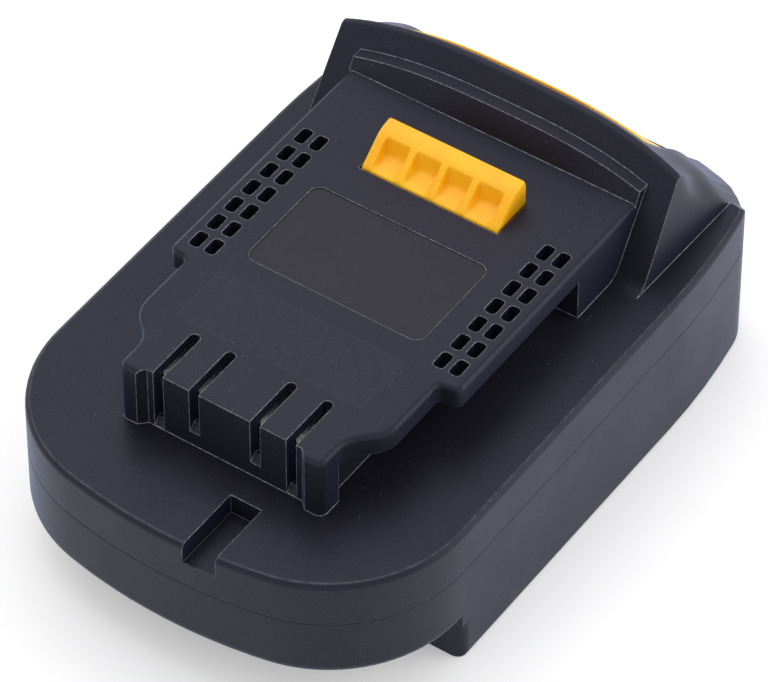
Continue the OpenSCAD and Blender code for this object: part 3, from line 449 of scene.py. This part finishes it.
UPRIGHT = (0.0, 0.0, 1.0)
WINDING_WIRE = 0.55 * MM
low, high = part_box("coil_winding")
winding_middle = (low + high) / 2
layer_turns = int((high.z - low.z) / WINDING_WIRE) - 1
WINDING_STEPS = 24
winding_turn = np.linspace(0.0, 2.0 * layer_turns, 2 * layer_turns * WINDING_STEPS + 1)
outer_radius = (high.x - low.x - WINDING_WIRE) / 2
layer_step = np.clip((winding_turn - layer_turns) + 0.5, 0.0, 1.0)
winding_radius = outer_radius - WINDING_WIRE * (1.0 - layer_step)
winding_rise = WINDING_WIRE * (0.5 + layer_turns - np.abs(layer_turns - winding_turn))
winding_line = helix(winding_middle, winding_radius, winding_turn, low.z + winding_rise)
copper_winding = tube("copper_winding", winding_line, WINDING_WIRE / 2, UPRIGHT, sides=8)
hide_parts("coil_winding")
fit(copper_winding, brushed("enamelled_copper", (0.72, 0.30, 0.11), 0.28, (900, 900, 9000)))

# Screws and catch plate. Zinc plated steel: four screws up through the bay's floor, two on the board, and
# the strip in the catch pocket that the battery's hook rests on. The heads on their seats hold the housings.
plated_steel = brushed("plated_steel", (0.62, 0.63, 0.65), 0.32, (900, 900, 9000))
for node in ("housing_screws", "board_screws", "catch_plate"):
    dress(node, plated_steel)

# Latch springs. Two coils of drawn steel wire between the floor's posts and the latch carrier, with one
# closed turn at each end.
SPRING_WIRE, SPRING_TURNS, SPRING_STEPS = 0.7 * MM, 7, 36
drawn_steel = brushed("drawn_steel", (0.66, 0.67, 0.69), 0.26, (2000, 2000, 9000))
for side in ("left", "right"):
    low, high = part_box("latch_spring_" + side)
    spring_middle, spring_height = (low + high) / 2, high.z - low.z
    spring_turn = np.linspace(0.0, SPRING_TURNS, SPRING_TURNS * SPRING_STEPS + 1)
    top_turn = spring_height - SPRING_WIRE
    spring_rise = np.interp(spring_turn, [0, 1, SPRING_TURNS - 1, SPRING_TURNS],
                            [0, SPRING_WIRE, top_turn - SPRING_WIRE, top_turn])
    spring_radius = (high.x - low.x - SPRING_WIRE) / 2
    spring_line = helix(spring_middle, spring_radius, spring_turn, low.z + SPRING_WIRE / 2 + spring_rise)
    spring = tube("coil_spring_" + side, spring_line, SPRING_WIRE / 2, UPRIGHT)
    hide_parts("latch_spring_" + side)
    fit(spring, drawn_steel)
    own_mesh(spring)


# Upper housing. The same black nylon over everything: the deck, the rail block with its terminal slots and
# vents, and the hood. A ground rectangle lies between the slots and the label, and a painted highlight runs
# along the deck's rim.
def depth_inside(tree, place, middle, half):
    """How far a point lies inside an upright box, negative outside: the least, over the three axes, of
    half the box less the distance from its middle."""
    away = put(tree, "VectorMath", operation="SUBTRACT")
    tree.links.new(place, away.inputs[0])
    away.inputs[1].default_value = middle
    apart = put(tree, "VectorMath", operation="ABSOLUTE")
    tree.links.new(away.outputs[0], apart.inputs[0])
    left = put(tree, "VectorMath", operation="SUBTRACT")
    left.inputs[0].default_value = half
    tree.links.new(apart.outputs[0], left.inputs[1])
    parts = put(tree, "SeparateXYZ", Vector=left.outputs[0]).outputs
    return work(tree, "MINIMUM", work(tree, "MINIMUM", parts["X"], parts["Y"]), parts["Z"])


PATCH_MIDDLE = (-0.45 * MM, -23.9 * MM, 44.2 * MM)
PATCH_HALF = (18.75 * MM, 6.25 * MM, 2.0 * MM)
GROUND_NYLON = (0.016, 0.016, 0.021)
upper_nylon = black_nylon("upper_nylon")
upper_tree = upper_nylon.node_tree
upper_place = upper_tree.nodes["Texture Coordinate"].outputs["Object"]
patch_depth = depth_inside(upper_tree, upper_place, PATCH_MIDDLE, PATCH_HALF)
patch = spread(upper_tree, patch_depth, 0.0, 1.0, 0.0, 0.25 * MM)
scratches = spread(upper_tree, noise(upper_tree, upper_place, 0.55, 4.0, 0.7), 0.0, 1.0, 0.46, 0.66)
lay_over(upper_nylon, work(upper_tree, "MULTIPLY", patch, scratches), shade(GROUND_NYLON))
from_border = work(upper_tree, "ABSOLUTE", patch_depth)
patch_border = spread(upper_tree, from_border, 0.35, 0.0, 0.05 * MM, 0.18 * MM)
lay_over(upper_nylon, patch_border, shade(GROUND_NYLON, 2.2))
DECK_Z = 31.5 * MM
deck_height = put(upper_tree, "SeparateXYZ", Vector=upper_place).outputs["Z"]
# Painted highlight: a thin pale band just below the deck's top, along its rounded rim, broken up by grains.
rim_start = spread(upper_tree, deck_height, 1.0, 0.0, DECK_Z - 0.06 * MM, DECK_Z - 0.02 * MM)
rim_end = spread(upper_tree, deck_height, 0.0, 0.11, DECK_Z - 0.22 * MM, DECK_Z - 0.12 * MM)
rim_highlight_grains = spread(upper_tree, noise(upper_tree, upper_place, 1.1, 4.0, 0.7), 0.3, 1.0, 0.38, 0.6)
rim_highlight = work(upper_tree, "MULTIPLY", work(upper_tree, "MULTIPLY", rim_start, rim_end), rim_highlight_grains)
lay_over(upper_nylon, rim_highlight, shade(RUBBED_AND_HIGHLIGHT_NYLON))
UPPER_CREASE = 34.0
upper_shell = merged_copy("upper_housing", "upper_shell", UPPER_CREASE)
shallow_seam(upper_shell, UPPER_CREASE)
fit(upper_shell, upper_nylon)


def smooth_step(value, start, end):
    """0 before start, 1 after end, and an S between them."""
    share = np.clip((value - start) / (end - start), 0.0, 1.0)
    return share * share * (3.0 - 2.0 * share)


# The hood's shoulders, in millimetres on the right side: the edge between the slope behind the crest and the
# side, from the crest's end to the rear wall. The slope swells beside the button and rolls over into the
# side; each pair of distances down the edge or in from it is where one of these starts or ends.
SHOULDER_TOP, SHOULDER_END = np.array((34.81, 41.82, 48.64)), np.array((36.0, 55.59, 32.41))
SLOPE_OUT, SIDE_OUT = np.array((0.34, 0.70, 0.62)), np.array((0.998, -0.02, 0.06))
SHOULDER_ROUND, SHOULDER_SWELL, SHOULDER_PITCH, SHOULDER_EASE = 5.0, 2.0, 0.8, 10
SLOPE_WIDTH, SLOPE_LENGTH, BUTTON_SIDE = 10.0, 28.0, 25.2
SHOULDER_Y, SHOULDER_Z, FACING_LEAST, EDGE_SLACK = 30.0, 30.0, 0.93, 0.02
ROLL_STARTS, ROLL_ENDS = (0.0, 9.0), (10.0, 20.0)
SWELL_STARTS, SWELL_ENDS = (1.0, 12.0), (12.0, 21.0)
SWELL_INSET, SWELL_OUTWARD = (0.0, 5.0), (BUTTON_SIDE + 0.2, BUTTON_SIDE + 2.2)
down_slope = (SHOULDER_END - SHOULDER_TOP) / np.linalg.norm(SHOULDER_END - SHOULDER_TOP)
slope_aside = np.cross(SLOPE_OUT, down_slope)
slope_aside = slope_aside * np.sign(slope_aside @ SIDE_OUT)
side_up = np.cross(SIDE_OUT, down_slope)
side_up = side_up * np.sign(side_up @ SLOPE_OUT)


def shoulder_faces(shape, hand, outward):
    """The faces of one shoulder that look outward. Hand is 1 on the right, and -1 on the left, where X is
    mirrored."""
    facing = Vector(outward) * Vector((hand, 1.0, 1.0))
    return [face for face in shape.faces if face.normal.dot(facing) > FACING_LEAST
            and face.calc_center_median().x * hand > BUTTON_SIDE * MM
            and face.calc_center_median().y > SHOULDER_Y * MM
            and face.calc_center_median().z > SHOULDER_Z * MM]


def score(shape, hand, outward, ahead, places):
    """Cuts lines into the outward faces of one shoulder, square to the direction ahead, at distances from
    the edge's top."""
    mirror = Vector((hand, 1.0, 1.0))
    for place in places:
        faces = shoulder_faces(shape, hand, outward)
        edges = list({edge for face in faces for edge in face.edges})
        corners = list({vert for face in faces for vert in face.verts})
        bmesh.ops.bisect_plane(shape, geom=faces + edges + corners, plane_no=Vector(ahead) * mirror,
                               plane_co=Vector(MM * (SHOULDER_TOP + place * ahead)) * mirror)


def roll_over(down, inset, ahead, outward):
    """The move of points on one of two faces that an arc joins. At a distance down the edge the arc starts
    at reach from it; a point at inset from the edge goes to the arc's angle bend, half the turn at the
    edge."""
    turn = math.acos(SLOPE_OUT @ SIDE_OUT)
    reach = SHOULDER_ROUND * smooth_step(down, *ROLL_STARTS) * (1.0 - smooth_step(down, *ROLL_ENDS)) + 1e-6
    radius = reach / math.tan(turn / 2)
    bend = turn / 2 * np.clip(1.0 - inset / reach, 0.0, 1.0)
    along = radius * np.sin(bend) - np.maximum(reach - inset, 0.0)
    return along[:, None] * ahead - (radius * (1.0 - np.cos(bend)))[:, None] * outward


def round_shoulders(piece, crease):
    """Scores both shoulders of the hood into a grid, swells the slope and rolls its edge over, and eases the
    points inside the grid towards their neighbours."""
    shape = bmesh.new()
    shape.from_mesh(piece.data)
    for hand in (1, -1):
        for outward, ahead, width in ((SLOPE_OUT, slope_aside, SLOPE_WIDTH),
                                      (SIDE_OUT, side_up, SHOULDER_ROUND)):
            inward = -np.arange(SHOULDER_PITCH, width, SHOULDER_PITCH)
            downward = np.arange(SHOULDER_PITCH, SLOPE_LENGTH, 2 * SHOULDER_PITCH)
            score(shape, hand, outward, ahead, inward)
            score(shape, hand, outward, down_slope, downward)
    shape.verts.index_update()
    slopes, sides = ([face for hand in (1, -1) for face in shoulder_faces(shape, hand, outward)]
                     for outward in (SLOPE_OUT, SIDE_OUT))
    slope_corners = [vert.index for face in slopes for vert in face.verts]
    side_corners = [vert.index for face in sides for vert in face.verts]
    rounded = set(slopes + sides)
    inner = [vert.index for vert in shape.verts if all(face in rounded for face in vert.link_faces)]
    mesh = piece.data
    shape.to_mesh(mesh)
    place = points_of(mesh) / MM
    mirror = np.where(place[:, :1] < 0.0, (-1.0, 1.0, 1.0), (1.0, 1.0, 1.0))
    place = place * mirror
    from_top = place - SHOULDER_TOP
    down, inset, drop = from_top @ down_slope, -from_top @ slope_aside, -from_top @ side_up
    numbers = np.arange(len(place))
    on_slope = np.isin(numbers, slope_corners) & (down > 0.0) & (inset > -EDGE_SLACK)
    on_side = np.isin(numbers, side_corners) & (down > 0.0) & (drop > EDGE_SLACK) & ~on_slope
    swell = SHOULDER_SWELL * smooth_step(down, *SWELL_STARTS) * (1.0 - smooth_step(down, *SWELL_ENDS))
    swell = swell * smooth_step(inset, *SWELL_INSET) * smooth_step(place[:, 0], *SWELL_OUTWARD)
    move = swell[:, None] * UPRIGHT + roll_over(down, inset, slope_aside, SLOPE_OUT)
    place = place + np.where(on_slope[:, None], move, 0.0)
    place = place + np.where(on_side[:, None], roll_over(down, drop, side_up, SIDE_OUT), 0.0)
    mesh.vertices.foreach_set("co", (MM * place * mirror).ravel())
    shape.clear()
    shape.from_mesh(mesh)
    shape.verts.ensure_lookup_table()
    eased = [shape.verts[number] for number in inner]
    for _ in range(SHOULDER_EASE):
        bmesh.ops.smooth_vert(shape, verts=eased, factor=0.5, use_axis_x=True, use_axis_y=True,
                              use_axis_z=True)
    shade_smooth(shape, crease)
    shape.to_mesh(mesh)
    shape.free()


round_shoulders(upper_shell, UPPER_CREASE)

# Label panel. A bare dark film in the shallow place on the plate, smoother than the plastic round it and
# held by its own glue.
FILM = (0.0068, 0.0064, 0.0095)
label_film = moulded("label_film", FILM, roughness=0.38, grain=0.6, depth=0.004, edge=0.1)
label_shader = label_film.node_tree.nodes["Principled BSDF"]
label_shader.inputs["Specular IOR Level"].default_value = 0.34
label_shader.inputs["Specular Tint"].default_value = (0.80, 0.78, 1.0, 1.0)
dress("label_panel", label_film)

# Release latch. One amber moulding, a little translucent, so that light bleeds through its thin walls: the
# sprung head in its window, the carrier under the plate and the press button behind the hood.
AMBER = (1.0, 0.455, 0.006)
latch_plastic = moulded("latch_plastic", AMBER, roughness=0.4, grain=0.5, depth=0.006, edge=0.2)
latch_shader = latch_plastic.node_tree.nodes["Principled BSDF"]
latch_shader.inputs["Subsurface Weight"].default_value = 0.65
latch_shader.inputs["Subsurface Radius"].default_value = (1.0, 0.40, 0.05)
latch_shader.inputs["Subsurface Scale"].default_value = 1.8 * MM
latch_shader.inputs["Specular IOR Level"].default_value = 0.35


def edge_fall(inset, radius):
    """How far a rounded edge has fallen at a distance in from the edge: a quarter circle's height there."""
    over = np.clip(1.0 - inset / radius, 0.0, 1.0)
    return radius * (1.0 - np.sqrt(1.0 - over * over))


# The head's sizes in millimetres: its front leans back to the top, which still rises a little to the rear.
HEAD_HALF, HEAD_FRONT, HEAD_REAR, HEAD_FOOT = 14.0, 16.34, 25.04, 43.0
LIP_Z, LEAN = 44.5, 0.854
TOP_Y, TOP_Z, TOP_RISE, TOP_BLEND = 21.9, 49.2, 0.158, 0.9
POCKET_PITCH, POCKET_HALF, POCKET_REAR, POCKET_WALL = 6.4, 2.35, 21.1, 0.7
POCKET_FLOOR, POCKET_RISE = 44.45, 0.22
END_ROUND, LIP_ROUND, GRID_STEP = 0.65, 0.35, 0.09


def latch_head(name):
    """The head as a height over its plan. The outer form is the lower of the leaning front and the top,
    blended, less the fall of its rounded edges; in each of four pockets it sinks to a rising floor along soft
    walls. One more ring of points round the border goes down to the foot, and one face closes the bottom."""
    x = np.linspace(-HEAD_HALF, HEAD_HALF, int(2 * HEAD_HALF / GRID_STEP))[:, None]
    y = np.linspace(HEAD_FRONT, HEAD_REAR, int((HEAD_REAR - HEAD_FRONT) / GRID_STEP))[None, :]
    front, top = LIP_Z + LEAN * (y - HEAD_FRONT), TOP_Z + TOP_RISE * (y - TOP_Y)
    share = np.clip(0.5 + 0.5 * (top - front) / TOP_BLEND, 0.0, 1.0)
    outer = top + (front - top) * share - TOP_BLEND * share * (1.0 - share)
    outer = outer - edge_fall(HEAD_HALF - np.abs(x), END_ROUND) - edge_fall(HEAD_REAR - y, END_ROUND)
    from_middle = np.abs(np.mod(x, POCKET_PITCH) - POCKET_PITCH / 2)
    inside = 1.0 - smooth_step(from_middle, POCKET_HALF - POCKET_WALL / 2, POCKET_HALF + POCKET_WALL / 2)
    inside = inside * (np.abs(x) < 2 * POCKET_PITCH)
    inside = inside * (1.0 - smooth_step(y, POCKET_REAR - POCKET_WALL, POCKET_REAR + POCKET_WALL / 2))
    pocket = POCKET_FLOOR + POCKET_RISE * (y - HEAD_FRONT)
    z = outer - np.maximum(outer - pocket, 0.0) * inside - edge_fall(y - HEAD_FRONT, LIP_ROUND)
    z = np.pad(z, 1, constant_values=HEAD_FOOT)
    x, y = np.pad(x[:, 0], 1, mode="edge"), np.pad(y[0], 1, mode="edge")
    x, y = np.broadcast_arrays(x[:, None], y[None, :])
    at = np.arange(z.size).reshape(z.shape)
    quads = np.stack([at[:-1, :-1], at[1:, :-1], at[1:, 1:], at[:-1, 1:]], axis=-1).reshape(-1, 4)
    border = np.concatenate([at[:-1, 0], at[-1, :-1], at[:0:-1, -1], at[0, :0:-1]])
    mesh = bpy.data.meshes.new(name)
    mesh.from_pydata((MM * np.stack([x, y, z], axis=-1)).reshape(-1, 3).tolist(), [],
                     quads.tolist() + [border[::-1].tolist()])
    mesh.polygons.foreach_set("use_smooth", np.arange(len(mesh.polygons)) < len(quads))
    head = bpy.data.objects.new(name, mesh)
    bpy.context.scene.collection.objects.link(head)
    return head


def round_edges(piece, chosen, radius):
    """Rounds off the sharp edges of a piece whose two ends both pass a test on their place."""
    shape = bmesh.new()
    shape.from_mesh(piece.data)
    sharp = math.radians(30)
    edges = [edge for edge in shape.edges if edge.is_manifold and edge.calc_face_angle(0.0) > sharp
             and all(chosen(vert.co) for vert in edge.verts)]
    bmesh.ops.bevel(shape, geom=edges, offset=radius, offset_type="OFFSET", segments=4, profile=0.5,
                    affect="EDGES", clamp_overlap=False)
    for face in shape.faces:
        face.smooth = True
    shape.to_mesh(piece.data)
    shape.free()


BUTTON_FRONT, BUTTON_BROW, BUTTON_ROUND = 45.1 * MM, 48.0 * MM, 1.0 * MM
LATCH_CREASE, HEAD_END = 34.0, 34.0 * MM
latch_carrier = merged_copy("release_latch", "latch_carrier", LATCH_CREASE, (HEAD_END, HEAD_FOOT * MM))
round_edges(latch_carrier, lambda place: place.z > BUTTON_BROW and place.y < BUTTON_FRONT, BUTTON_ROUND)
fit(latch_carrier, latch_plastic, "latch")
amber_head = latch_head("amber_head")
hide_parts("release_latch")
fit(amber_head, latch_plastic, "latch")
